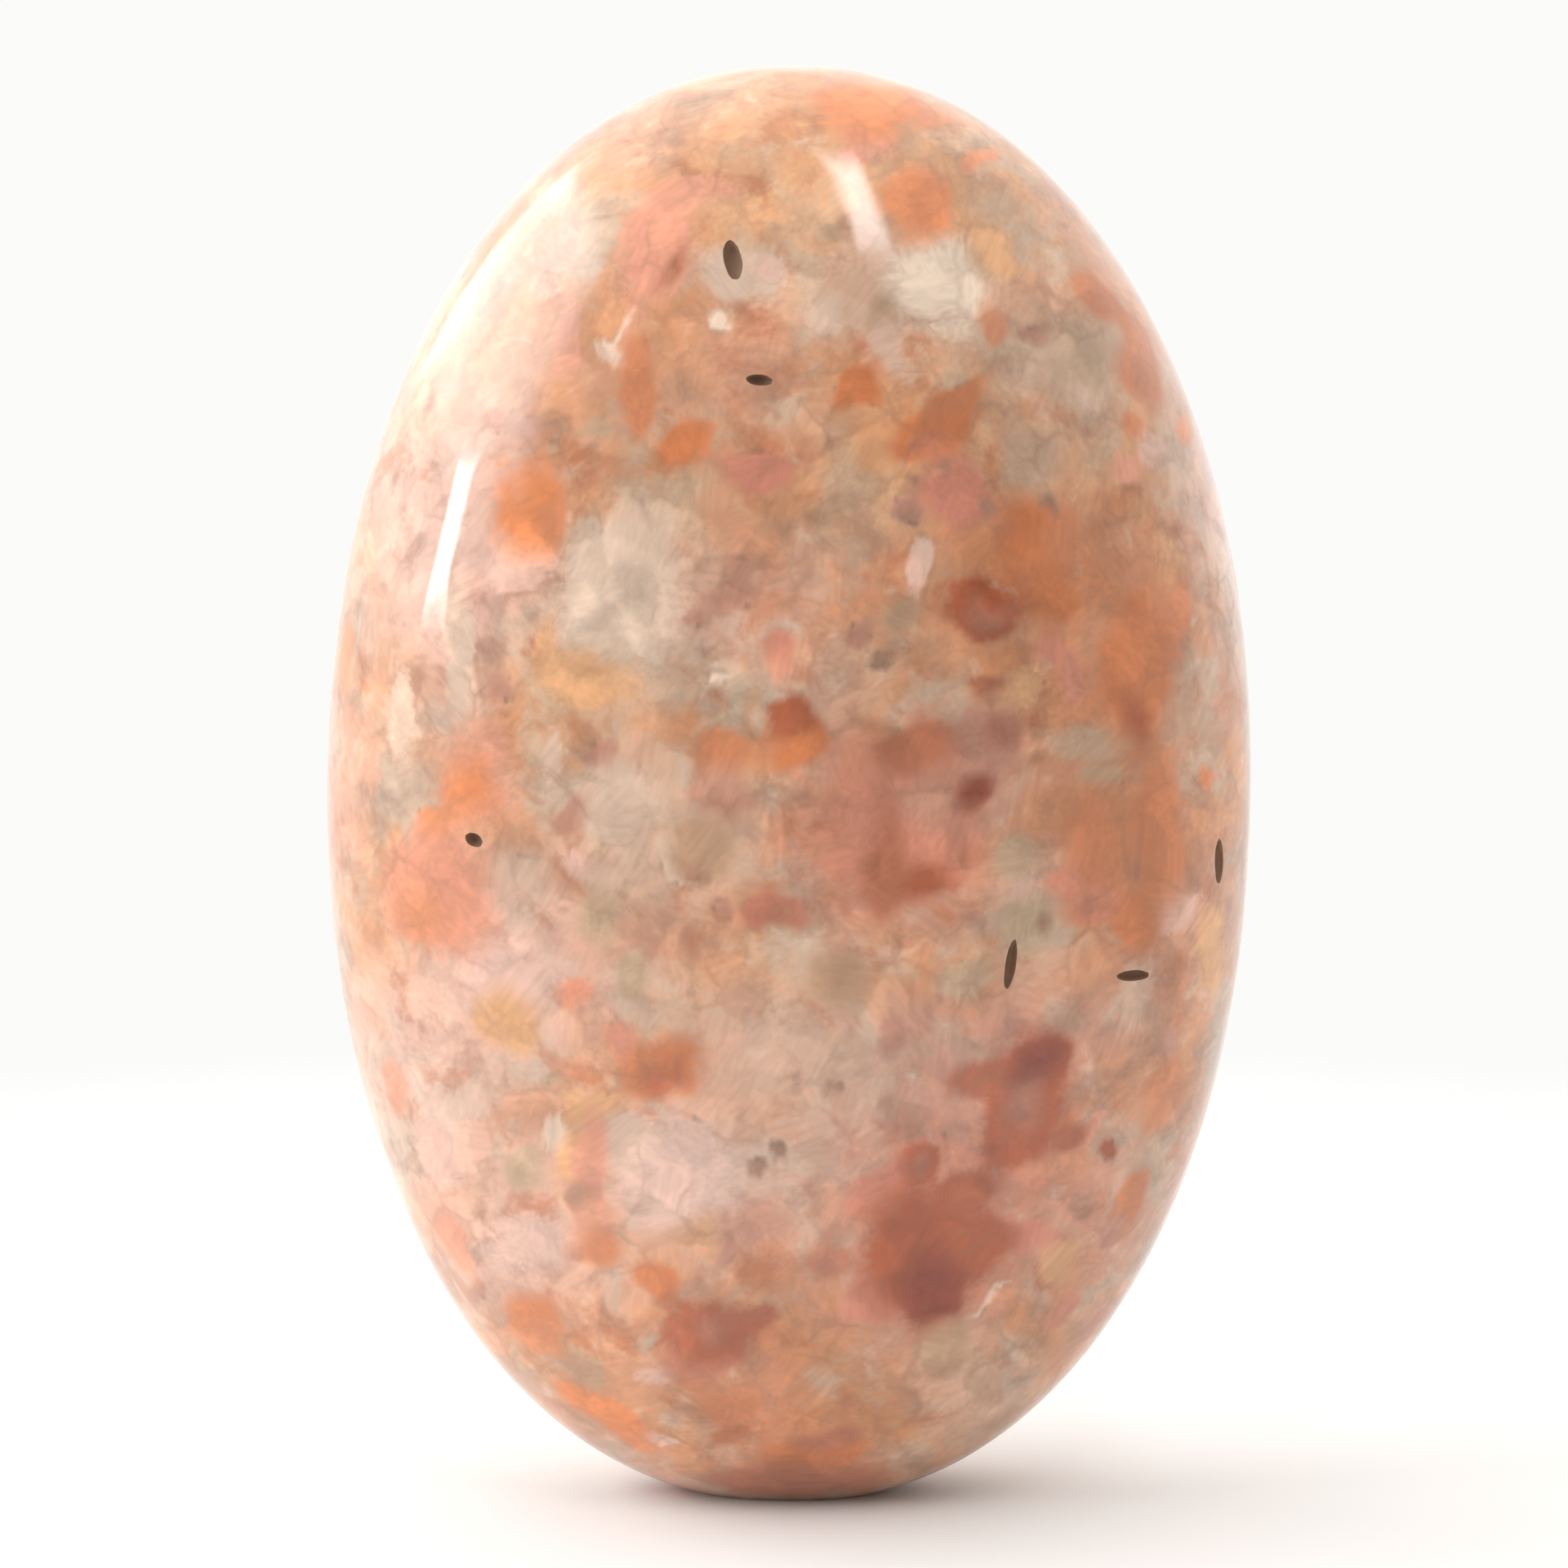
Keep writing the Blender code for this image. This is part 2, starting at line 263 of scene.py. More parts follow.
        (13.1, 17.0, 1.2, 1.6, 60.0, 0.8), (14.7, 16.1, 0.9, 1.4, 10.0, 0.9),
        (6.0, 11.5, 5.4, 6.4, 0.0, 1.0), (8.8, 12.1, 2.0, 3.2, 80.0, 0.95),
        (8.8, 14.3, 1.9, 3.0, 80.0, 0.9), (5.9, 15.4, 1.6, 1.6, 0.0, 1.0),
        (1.8, 11.0, 1.8, 1.8, 0.0, 0.5), (-3.8, 7.7, 2.8, 4.2, 80.0, 0.95),
        (-1.5, 8.6, 1.4, 2.0, 70.0, 0.8), (-5.4, 19.7, 1.3, 1.8, 70.0, 0.9),
        (-0.2, 26.9, 0.9, 1.4, 80.0, 0.5), (15.9, 36.0, 1.5, 2.2, 0.0, 0.9),
        (6.5, 49.3, 0.8, 2.6, 80.0, 0.6), (1.9, 2.9, 1.2, 2.4, 85.0, 0.6),
        (-5.3, 56.8, 0.6, 2.2, 45.0, 0.7), (9.4, 37.4, 1.0, 1.5, 85.0, 0.7),
        # Painted shade: the dark contact shadow where the stone meets the floor, laid on as a rust band
        # along the foot
        (0.0, 0.9, 2.0, 9.0, 90.0, 0.6),
    )),
    (DEEP_RUST, (
        (11.3, 20.2, 2.2, 2.2, 0.0, 1.0), (6.4, 9.8, 2.3, 2.8, 20.0, 1.0),
        (8.1, 32.5, 1.2, 1.7, 80.0, 1.0), (10.0, 35.0, 1.4, 1.8, 60.0, 0.6),
        (-3.6, 8.0, 1.2, 2.0, 80.0, 0.6), (9.0, 40.7, 0.9, 2.2, 85.0, 0.6),
        (5.9, 15.3, 0.8, 0.9, 0.0, 0.7), (10.9, 18.4, 1.6, 1.8, 0.0, 0.6),
    )),
    (SPECK, (
        (4.3, 39.0, 0.9, 1.5, 85.0, 0.8), (-0.6, 16.1, 0.8, 1.0, 85.0, 0.7),
        (-1.5, 15.2, 0.8, 1.1, 30.0, 0.6), (-4.2, 29.0, 0.9, 1.2, 60.0, 0.5),
        (1.9, 18.7, 0.8, 0.8, 0.0, 0.6), (11.9, 26.4, 0.8, 0.9, 0.0, 0.6),
        (11.9, 45.9, 0.6, 0.7, 0.0, 0.7), (5.3, 45.2, 0.8, 1.0, 60.0, 0.6),
        (7.3, 48.2, 0.7, 0.7, 0.0, 0.6), (5.6, 47.2, 0.7, 0.7, 0.0, 0.6),
        (8.9, 46.1, 0.7, 0.8, 0.0, 0.5), (-7.0, 45.9, 0.6, 0.6, 0.0, 0.4),
        (-9.5, 14.3, 0.8, 0.9, 0.0, 0.5),
    )),
)


def linear(hex_colour):
    """The linear colour of an sRGB hex value."""
    channels = []
    for start in (0, 2, 4):
        value = int(hex_colour[start:start + 2], 16) / 255
        if value <= 0.04045:
            channels.append(value / 12.92)
        else:
            channels.append(((value + 0.055) / 1.055) ** 2.4)
    return (*channels, 1.0)


def add(tree, kind, feeds=None, **settings):
    """Adds a node with its settings. feeds gives a socket, by its name or number, a value or a link;
    a node that is given as a feed links the first output that it has in use."""
    node = tree.nodes.new(kind)
    column, row = divmod(len(tree.nodes), 8)
    node.location = (220 * column, -260 * row)
    for name, value in settings.items():
        setattr(node, name, value)
    for name, value in (feeds or {}).items():
        if isinstance(value, bpy.types.Node):
            value = next(output for output in value.outputs if output.enabled)
        if isinstance(value, bpy.types.NodeSocket):
            tree.links.new(value, node.inputs[name])
        else:
            node.inputs[name].default_value = value
    return node


# The stone's fine surface

OVAL_INPUTS = (
    ("Pit Places", "NodeSocketGeometry"),
    ("Low Corner", "NodeSocketVector"),
    ("High Corner", "NodeSocketVector"),
    ("Outline Power", "NodeSocketFloat"),
    ("Profile Power", "NodeSocketFloat"),
    ("Lean", "NodeSocketFloat"),
    ("Ripple Spacing", "NodeSocketFloat"),
    ("Ripple Depth", "NodeSocketFloat"),
    ("Pit Depth", "NodeSocketFloat"),
    ("Pit Raggedness", "NodeSocketFloat"),
    ("Fineness", "NodeSocketInt"),
    ("Material", "NodeSocketMaterial"),
)


def full_oval(tree, given):
    """The oval before its foot and pits are cut, by the same formula as the solid that it stands for."""
    sphere = add(tree, "GeometryNodeMeshIcoSphere", {"Radius": 1.0, "Subdivisions": given["Fineness"]})
    place = add(tree, "GeometryNodeInputPosition")
    direction = add(tree, "ShaderNodeVectorMath", {0: place}, operation="NORMALIZE")
    span = add(tree, "ShaderNodeVectorMath", {0: direction}, operation="ABSOLUTE")
    parts = add(tree, "ShaderNodeSeparateXYZ", {0: span})
    outline_power = given["Outline Power"]
    profile_power = given["Profile Power"]
    wide = add(tree, "ShaderNodeMath", {0: parts.outputs["X"], 1: outline_power}, operation="POWER")
    tall = add(tree, "ShaderNodeMath", {0: parts.outputs["Z"], 1: outline_power}, operation="POWER")
    deep = add(tree, "ShaderNodeMath", {0: parts.outputs["Y"], 1: profile_power}, operation="POWER")
    outline = add(tree, "ShaderNodeMath", {0: wide, 1: tall}, operation="ADD")
    ratio = add(tree, "ShaderNodeMath", {0: profile_power, 1: outline_power}, operation="DIVIDE")
    raised = add(tree, "ShaderNodeMath", {0: outline, 1: ratio}, operation="POWER")
    profile = add(tree, "ShaderNodeMath", {0: raised, 1: deep}, operation="ADD")
    inverse = add(tree, "ShaderNodeMath", {0: -1.0, 1: profile_power}, operation="DIVIDE")
    reach = add(tree, "ShaderNodeMath", {0: profile, 1: inverse}, operation="POWER")

    low_corner = given["Low Corner"]
    size = add(
        tree, "ShaderNodeVectorMath", {0: given["High Corner"], 1: low_corner}, operation="SUBTRACT"
    )
    half = add(tree, "ShaderNodeVectorMath", {0: size, "Scale": 0.5}, operation="SCALE")
    stretched = add(tree, "ShaderNodeVectorMath", {0: direction, 1: half}, operation="MULTIPLY")
    point = add(tree, "ShaderNodeVectorMath", {0: stretched, "Scale": reach.outputs[0]}, operation="SCALE")

    rise = None
    for travel, waves, height, phase in SWELLS:
        way = Vector(travel).normalized()
        along = add(tree, "ShaderNodeVectorMath", {0: direction, 1: way}, operation="DOT_PRODUCT")
        angle = add(
            tree,
            "ShaderNodeMath",
            {0: along.outputs["Value"], 1: math.pi * waves, 2: phase},
            operation="MULTIPLY_ADD",
        )
        wave = add(tree, "ShaderNodeMath", {0: angle}, operation="SINE")
        rise = add(
            tree, "ShaderNodeMath", {0: wave, 1: height, 2: rise or 0.0}, operation="MULTIPLY_ADD"
        )
    outwards = add(tree, "ShaderNodeVectorMath", {0: point}, operation="NORMALIZE")
    swell = add(tree, "ShaderNodeVectorMath", {0: outwards, "Scale": rise.outputs[0]}, operation="SCALE")
    surface = add(tree, "ShaderNodeVectorMath", {0: point, 1: swell}, operation="ADD")
    shaped = add(tree, "GeometryNodeSetPosition", {"Geometry": sphere, "Position": surface})

    turn = add(tree, "ShaderNodeCombineXYZ", {"Y": given["Lean"]})
    leaning = add(tree, "GeometryNodeTransform", {"Geometry": shaped, "Rotation": turn})
    box = add(tree, "GeometryNodeBoundBox", {"Geometry": leaning})
    lowest = box.outputs["Min"]
    got = add(tree, "ShaderNodeVectorMath", {0: box.outputs["Max"], 1: lowest}, operation="SUBTRACT")
    fit = add(tree, "ShaderNodeVectorMath", {0: size, 1: got}, operation="DIVIDE")
    low = add(tree, "ShaderNodeVectorMath", {0: lowest, 1: fit}, operation="MULTIPLY")
    shift = add(tree, "ShaderNodeVectorMath", {0: low_corner, 1: low}, operation="SUBTRACT")
    return add(tree, "GeometryNodeTransform", {"Geometry": leaning, "Translation": shift, "Scale": fit})


def rippled(tree, given, oval):
    """The oval with the slight unevenness that polishing leaves on grains of different hardness."""
    often = add(tree, "ShaderNodeMath", {0: 1.0, 1: given["Ripple Spacing"]}, operation="DIVIDE")
    bumps = add(tree, "ShaderNodeTexNoise", {"Scale": often, "Detail": 1.5, "Roughness": 0.4})
    centred = add(tree, "ShaderNodeMath", {0: bumps, 1: 0.5}, operation="SUBTRACT")
    rise = add(tree, "ShaderNodeMath", {0: centred, 1: given["Ripple Depth"]}, operation="MULTIPLY")
    normal = add(tree, "GeometryNodeInputNormal")
    offset = add(tree, "ShaderNodeVectorMath", {0: normal, "Scale": rise.outputs[0]}, operation="SCALE")
    return add(tree, "GeometryNodeSetPosition", {"Geometry": oval, "Offset": offset})


def pit_cutters(tree, given, oval):
    """A small ragged ellipsoid sunk into the surface in front of each pit's place."""
    place = add(tree, "GeometryNodeInputPosition")
    side = add(tree, "ShaderNodeVectorMath", {0: place, 1: (0.0, -1.0, 0.0)}, operation="MULTIPLY")
    hit = add(
        tree,
        "GeometryNodeRaycast",
        {"Target Geometry": oval, "Source Position": place, "Ray Direction": side, "Ray Length": 1.0},
    )
    marked = add(
        tree,
        "GeometryNodeStoreNamedAttribute",
        {"Geometry": given["Pit Places"], "Name": "outwards", "Value": hit.outputs["Hit Normal"]},
        data_type="FLOAT_VECTOR",
    )
    seat = hit.outputs["Hit Position"]
    seated = add(tree, "GeometryNodeSetPosition", {"Geometry": marked, "Position": seat})

    ball = add(tree, "GeometryNodeMeshIcoSphere", {"Radius": 1.0, "Subdivisions": 4})
    rough = add(tree, "ShaderNodeTexNoise", {"Scale": 1.4, "Detail": 2.0})
    centred = add(tree, "ShaderNodeMath", {0: rough, 1: 0.5}, operation="SUBTRACT")
    rise = add(tree, "ShaderNodeMath", {0: centred, 1: given["Pit Raggedness"]}, operation="MULTIPLY")
    wall = add(tree, "GeometryNodeInputNormal")
    offset = add(tree, "ShaderNodeVectorMath", {0: wall, "Scale": rise.outputs[0]}, operation="SCALE")
    ragged = add(tree, "GeometryNodeSetPosition", {"Geometry": ball, "Offset": offset})
    tagged = add(
        tree,
        "GeometryNodeStoreNamedAttribute",
        {"Geometry": ragged, "Name": "pit", "Value": 1.0},
        data_type="FLOAT",
        domain="FACE",
    )

    normal = add(tree, "GeometryNodeInputNamedAttribute", {"Name": "outwards"}, data_type="FLOAT_VECTOR")
    facing = add(
        tree,
        "FunctionNodeAxesToRotation",
        {"Primary Axis": normal, "Secondary Axis": (0.0, 0.0, 1.0)},
        primary_axis="Z",
        secondary_axis="Y",
    )
    turn = add(tree, "GeometryNodeInputNamedAttribute", {"Name": "turn"}, data_type="FLOAT")
    spin = add(tree, "FunctionNodeAxisAngleToRotation", {"Axis": (0.0, 0.0, 1.0), "Angle": turn})
    rotation = add(
        tree, "FunctionNodeRotateRotation", {"Rotation": facing, "Rotate By": spin}, rotation_space="LOCAL"
    )
    width = add(tree, "GeometryNodeInputNamedAttribute", {"Name": "half_width"}, data_type="FLOAT")
    length = add(tree, "GeometryNodeInputNamedAttribute", {"Name": "half_length"}, data_type="FLOAT")
    scale = add(tree, "ShaderNodeCombineXYZ", {"X": width, "Y": length, "Z": given["Pit Depth"]})
    placed = add(
        tree,
        "GeometryNodeInstanceOnPoints",
        {"Points": seated, "Instance": tagged, "Rotation": rotation, "Scale": scale},
    )
    return add(tree, "GeometryNodeRealizeInstances", {"Geometry": placed})


def oval_tree():
    """Node tree that shapes the whole stone from its sizes and from points in front of its pits."""
    tree = bpy.data.node_groups.new("polished oval", "GeometryNodeTree")
    for name, kind in OVAL_INPUTS:
        tree.interface.new_socket(name=name, in_out="INPUT", socket_type=kind)
    tree.interface.new_socket(name="Stone", in_out="OUTPUT", socket_type="NodeSocketGeometry")
    given = add(tree, "NodeGroupInput").outputs

    oval = rippled(tree, given, full_oval(tree, given))
    cutters = pit_cutters(tree, given, oval)
    block = add(tree, "GeometryNodeMeshCube", {"Size": (GROUND_BLOCK, GROUND_BLOCK, GROUND_BLOCK)})
    sunk = (0.0, 0.0, -GROUND_BLOCK / 2)
    ground_below = add(tree, "GeometryNodeTransform", {"Geometry": block, "Translation": sunk})
    cut = add(
        tree,
        "GeometryNodeMeshBoolean",
        {"Mesh 1": oval, "Mesh 2": ground_below},
        operation="DIFFERENCE",
        solver="EXACT",
    )
    tree.links.new(cutters.outputs[0], cut.inputs["Mesh 2"])
    body = cut.outputs["Mesh"]
    smooth = add(tree, "GeometryNodeSetShadeSmooth", {"Geometry": body, "Shade Smooth": True})
    creased = add(
        tree,
        "GeometryNodeSetShadeSmooth",
        {"Geometry": smooth, "Selection": cut.outputs["Intersecting Edges"], "Shade Smooth": False},
        domain="EDGE",
    )
    single = add(tree, "GeometryNodeRealizeInstances", {"Geometry": creased})
    dressed = add(tree, "GeometryNodeSetMaterial", {"Geometry": single, "Material": given["Material"]})
    add(tree, "NodeGroupOutput", {"Stone": dressed})
    return tree


def pit_places(material):
    """Points well in front of the face, one for each pit, which carry its size and turn."""
    rows = [(x, -1, z, width, length, turn) for x, z, width, length, turn in FRONT_PITS]
    rows += [(x, 1, z, width, length, turn) for x, z, width, length, turn in BACK_PITS]
    mesh = bpy.data.meshes.new("pit places")
    mesh.from_pydata([(x * MM, side * BOX_HIGH.y * 2, z * MM) for x, side, z, *_ in rows], [], [])
    mesh.materials.append(material)
    half_width = mesh.attributes.new("half_width", "FLOAT", "POINT")
    half_width.data.foreach_set("value", [row[3] * MM / 2 for row in rows])
    half_length = mesh.attributes.new("half_length", "FLOAT", "POINT")
    half_length.data.foreach_set("value", [row[4] * MM / 2 for row in rows])
    turn = mesh.attributes.new("turn", "FLOAT", "POINT")
    turn.data.foreach_set("value", [math.radians(row[5]) for row in rows])
    return mesh


def shape_stone(material):
    """The stone as a plain mesh, made by the node tree."""
    seed = bpy.data.objects.new("pit places", pit_places(material))
    bpy.context.scene.collection.objects.link(seed)
    tree = oval_tree()
    modifier = seed.modifiers.new("polished oval", "NODES")
    modifier.node_group = tree
    foot_drop = Vector((0.0, 0.0, FOOT_CUT))
    sizes = {
        "Low Corner": BOX_LOW - foot_drop,
        "High Corner": BOX_HIGH,
        "Outline Power": OUTLINE_POWER,
        "Profile Power": PROFILE_POWER,
        "Lean": LEAN,
        "Ripple Spacing": RIPPLE_SPACING,
        "Ripple Depth": RIPPLE_DEPTH,
        "Pit Depth": PIT_DEPTH,
        "Pit Raggedness": PIT_RAGGEDNESS,
        "Fineness": FINENESS,
        "Material": material,
    }
    for item in tree.interface.items_tree:
        if item.in_out == "INPUT" and item.name in sizes:
            modifier[item.identifier] = sizes[item.name]
    bpy.context.view_layer.update()
    shown = seed.evaluated_get(bpy.context.evaluated_depsgraph_get())
    mesh = bpy.data.meshes.new_from_object(shown)
    mesh.name = "polished_sunstone"
    for name in PIT_NOTES:
        if name in mesh.attributes:
            mesh.attributes.remove(mesh.attributes[name])
    mesh.materials.clear()
    mesh.materials.append(material)
    bpy.data.objects.remove(seed)
    stone = bpy.data.objects.new("polished_sunstone", mesh)
    bpy.context.scene.collection.objects.link(stone)
    return stone


# Markings that belong to a place on the stone

# How far the outline of a stain wanders, and the sizes of its lobes
WANDER = ((0.0034, 0.0008), (0.0013, 0.00035))
WANDER_SEED = 7
# A stain is full at its middle and gone at this many times its half size
CORE = 0.45
FADE = 1.55

# Stains of the back and the far sides, which the front view doesn't show, in the front's manner
HIDDEN_STAINS = 190
HIDDEN_SEED = 11
HIDDEN_TINTS = (
    (BROWN_ORANGE, 5), (ORANGE, 3), (CORAL, 3), (RUST_AND_FOOT_SHADE, 4), (ROSE, 3), (OCHRE, 3), (GREY, 3),
    (CREAM_AND_HIGHLIGHT, 3), (PINK, 3), (GREEN_GREY, 2), (MAUVE, 3), (SPECK, 1), (DEEP_RUST, 1),
)
HIDDEN_SIZES = (0.8, 3.2)
HIDDEN_WIDTHS = (0.6, 1.0)
HIDDEN_HEIGHTS = (0.8, 1.8)
HIDDEN_STRENGTHS = (0.5, 1.0)
HIDDEN_CLOUDS = 16
HIDDEN_CLOUD_TINTS = ((OCHRE, 3), (BROWN_ORANGE, 3), (ROSE, 3), (PINK, 4), (GREY, 4))
HIDDEN_CLOUD_SIZES = (6.0, 14.0)
# Each is cast on the stone from a place on a large oval around it, in about the stone's proportions
CAST_WIDE = 0.6
CAST_DEEP = 0.4


def on_front(surface, across, up):
    """The point of the stone that shows at a place of the front view, or is nearest to it."""
    target = STONE_MIDDLE + ACROSS * across * MM + UP * (up * MM - STONE_MIDDLE.z)
    hit = surface.ray_cast(EYE, target - EYE)[0]
    return hit or surface.find_nearest(target)[0]


def front_marks(surface, groups):
    """Place, half sizes, turn, tint and strength of each marking of the front."""
    marks = []
    for tint, patches in groups:
        for across, up, width, height, lean, strength in patches:
            place = on_front(surface, across, up)
            half = Vector((width, max(width, height), height)) * MM / 2
            marks.append((place, half, math.radians(lean), linear(tint), strength))
    return marks


def hidden_marks(surface, dice, count, tints, sizes):
    """Markings scattered over the part of the stone that the front view doesn't reach."""
    names = [tint for tint, _ in tints]
    shares = [share for _, share in tints]
    marks = []
    while len(marks) < count:
        away = Vector([dice.gauss(0.0, 1.0) for _ in range(3)]).normalized()
        start = STONE_MIDDLE + Vector((away.x * CAST_WIDE, away.y * CAST_DEEP, away.z))
        place, normal, _, _ = surface.ray_cast(start, STONE_MIDDLE - start)
        if normal.dot(EYE - place) > 0.0:
            continue
        size = dice.uniform(*sizes)
        width = size * dice.uniform(*HIDDEN_WIDTHS)
        height = size * dice.uniform(*HIDDEN_HEIGHTS)
        half = Vector((width, size, height)) * MM / 2
        turn = dice.uniform(-math.pi / 2, math.pi / 2)
        tint = dice.choices(names, shares)[0]
        marks.append((place, half, turn, linear(tint), dice.uniform(*HIDDEN_STRENGTHS)))
    return marks


def painted(points, marks, thin):
    """Colour and amount of the markings at each point, each laid over those before it. A weak one
    covers less if it is thin, and otherwise covers as much with a colour nearer to the ground's."""
    body = np.array(linear(GROUND_BEIGE)[:3])
    colour = np.zeros((len(points), 3))
    amount = np.zeros(len(points))
    for place, half, turn, tint, strength in marks:
        away = points - np.array(place)
        sideways = away[:, 0] * math.cos(turn) - away[:, 2] * math.sin(turn)
        lengthways = away[:, 0] * math.sin(turn) + away[:, 2] * math.cos(turn)
        distance = np.sqrt(
            (sideways / half.x) ** 2 + (away[:, 1] / half.y) ** 2 + (lengthways / half.z) ** 2
        )
        cover = np.clip((FADE - distance) / (FADE - CORE), 0.0, 1.0)
        shade = np.array(tint[:3])
        if thin:
            cover *= strength
        else:
            shade = body + (shade - body) * strength
        colour = colour * (1.0 - cover)[:, None] + shade * cover[:, None]
        amount = amount + cover - amount * cover
    colour /= np.maximum(amount, 1e-6)[:, None]
    return np.column_stack((colour, amount))


def mark_stone(stone):
    """Writes the clouds and stains, with the painted shade and highlights among the stains, to the stone's
    points as two colour attributes.
    """
    mesh = stone.data
    surface = BVHTree.FromPolygons(
        [vert.co for vert in mesh.vertices], [face.vertices for face in mesh.polygons]
    )
    points = np.empty(len(mesh.vertices) * 3)
    mesh.vertices.foreach_get("co", points)
    points = points.reshape(-1, 3)
    wandered = points.copy()
    noise.seed_set(WANDER_SEED)
    for spacing, distance in WANDER:
        drift = [noise.noise_vector(Vector(point) / spacing) for point in points]
        wandered += np.array(drift) * distance

    dice = random.Random(HIDDEN_SEED)
    clouds = hidden_marks(surface, dice, HIDDEN_CLOUDS, HIDDEN_CLOUD_TINTS, HIDDEN_CLOUD_SIZES)
    clouds += front_marks(surface, CLOUDS)
    stains_and_painted_light = hidden_marks(surface, dice, HIDDEN_STAINS, HIDDEN_TINTS, HIDDEN_SIZES)
    stains_and_painted_light += front_marks(surface, STAINS_AND_PAINTED_LIGHT)
    # The stain layer also carries the painted shade along the foot and two painted highlights
    for name, marks, thin in (("cloud", clouds, True), ("stain_and_painted_light", stains_and_painted_light, False)):
        layer = mesh.attributes.new(name, "FLOAT_COLOR", "POINT")
        layer.data.foreach_set("color", painted(wandered, marks, thin).ravel())


# The stone's material

GROUND_BEIGE = "cf9b80"
GROUND_PEACH = "d6976c"
GROUND_GREY = "c9ac94"
HAZE_RUST = "b5683f"
SMUDGE_BROWN = "9c7660"
WISP_CREAM = "e6cfb8"
SEAM_BROWN = "9a6c50"
PIT_STAIN = "8d6d58"

# Size of the ground's drifts from beige to peach, and where its noise starts and ends them
MOTTLE = 0.0062
PEACH_SHOWS = (0.40, 0.62)

# Irregular spots: tint, size, a shift that keeps each kind apart, where the noise starts to show them
# and where it shows them in full, and the most that they cover
GREY_SPOTS = (GROUND_GREY, 0.0045, (0.03, 0.01, 0.02), 0.46, 0.64, 1.0)
BROWN_SMUDGES = (SMUDGE_BROWN, 0.0023, (0.05, 0.02, 0.01), 0.50, 0.72, 0.55)
RUST_HAZE = (HAZE_RUST, 0.0034, (0.01, 0.06, 0.03), 0.52, 0.72, 0.65)
CREAM_WISPS = (WISP_CREAM, 0.0019, (0.02, 0.03, 0.07), 0.56, 0.76, 0.40)

# Sizes of the feldspar grains and the finer ones between them, how far their borders wander, and how
# much darker or lighter than the rest a grain can be
GRAIN = 0.0023
FINE_GRAIN = 0.0011
GRAIN_DRIFT = 0.0009
GRAIN_TONES = (0.86, 1.12)
FINE_TONES = (0.90, 1.10)

# Cleavage traces are finer than this on a real stone, and are drawn coarser so that they show
CLEAVAGE_ACROSS = 0.0003
CLEAVAGE_ALONG = 0.0028
STREAK_TONES = (0.90, 1.08)

# Size of the breaks in a stain's edge, and the roughened amounts where it starts and is full
STAIN_EDGE = 0.0012
STAIN_SHOWS = (0.60, 1.28)

# Faint brown seams between grains, which show only in places
SEAM_WIDTH = 0.00022
SEAM_STRENGTH = 0.35
SEAM_BREAKS = 0.003
SEAM_SHOWS = (0.48, 0.68)


def mottled(tree, place, colour, tint, size, shift, start, full, most):
    """The colour with irregular spots of a tint: their size, where the noise starts to show them and
    where it shows them in full, and the most that they cover."""
    aside = add(tree, "ShaderNodeVectorMath", {0: place, 1: shift}, operation="ADD")
    spots = add(
        tree,
        "ShaderNodeTexNoise",
        {"Vector": aside, "Scale": 1 / size, "Detail": 4.0, "Roughness": 0.58, "Distortion": 0.4},
    )
    cover = add(
        tree,
        "ShaderNodeMapRange",
        {"Value": spots, "From Min": start, "From Max": full, "To Max": most},
        interpolation_type="SMOOTHSTEP",
    )
    return add(
        tree, "ShaderNodeMix", {"Factor": cover, "A": colour, "B": linear(tint)}, data_type="RGBA"
    )


def ground(tree, place):
    """Body colour of the feldspar between its stains: beige that drifts to peach and to grey."""
    broad = add(tree, "ShaderNodeTexNoise", {"Vector": place, "Scale": 1 / MOTTLE, "Detail": 3.0})
    start, full = PEACH_SHOWS
    warm = add(tree, "ShaderNodeMapRange", {"Value": broad, "From Min": start, "From Max": full})
    beige = add(
        tree,
        "ShaderNodeMix",
        {"Factor": warm, "A": linear(GROUND_BEIGE), "B": linear(GROUND_PEACH)},
        data_type="RGBA",
    )
    return mottled(tree, place, beige, *GREY_SPOTS)


def clouded(tree, colour):
    """The ground under the broad soft clouds that were laid on the stone's points."""
    cloud = add(tree, "ShaderNodeAttribute", attribute_name="cloud")
    return add(
        tree,
        "ShaderNodeMix",
        {"Factor": cloud.outputs["Alpha"], "A": colour, "B": cloud.outputs["Color"]},
        data_type="RGBA",
    )


def bent(tree, place):
    """Places moved about a little, so that the grains' borders interlock."""
    wobble = add(
        tree, "ShaderNodeTexNoise", {"Vector": place, "Scale": 0.7 / GRAIN, "Detail": 4.0, "Roughness": 0.6}
    )
    centred = add(
        tree, "ShaderNodeVectorMath", {0: wobble.outputs["Color"], 1: (0.5, 0.5, 0.5)}, operation="SUBTRACT"
    )
    drift = add(
        tree, "ShaderNodeVectorMath", {0: centred, "Scale": 2 * GRAIN_DRIFT}, operation="SCALE"
    )
    return add(tree, "ShaderNodeVectorMath", {0: place, 1: drift}, operation="ADD")


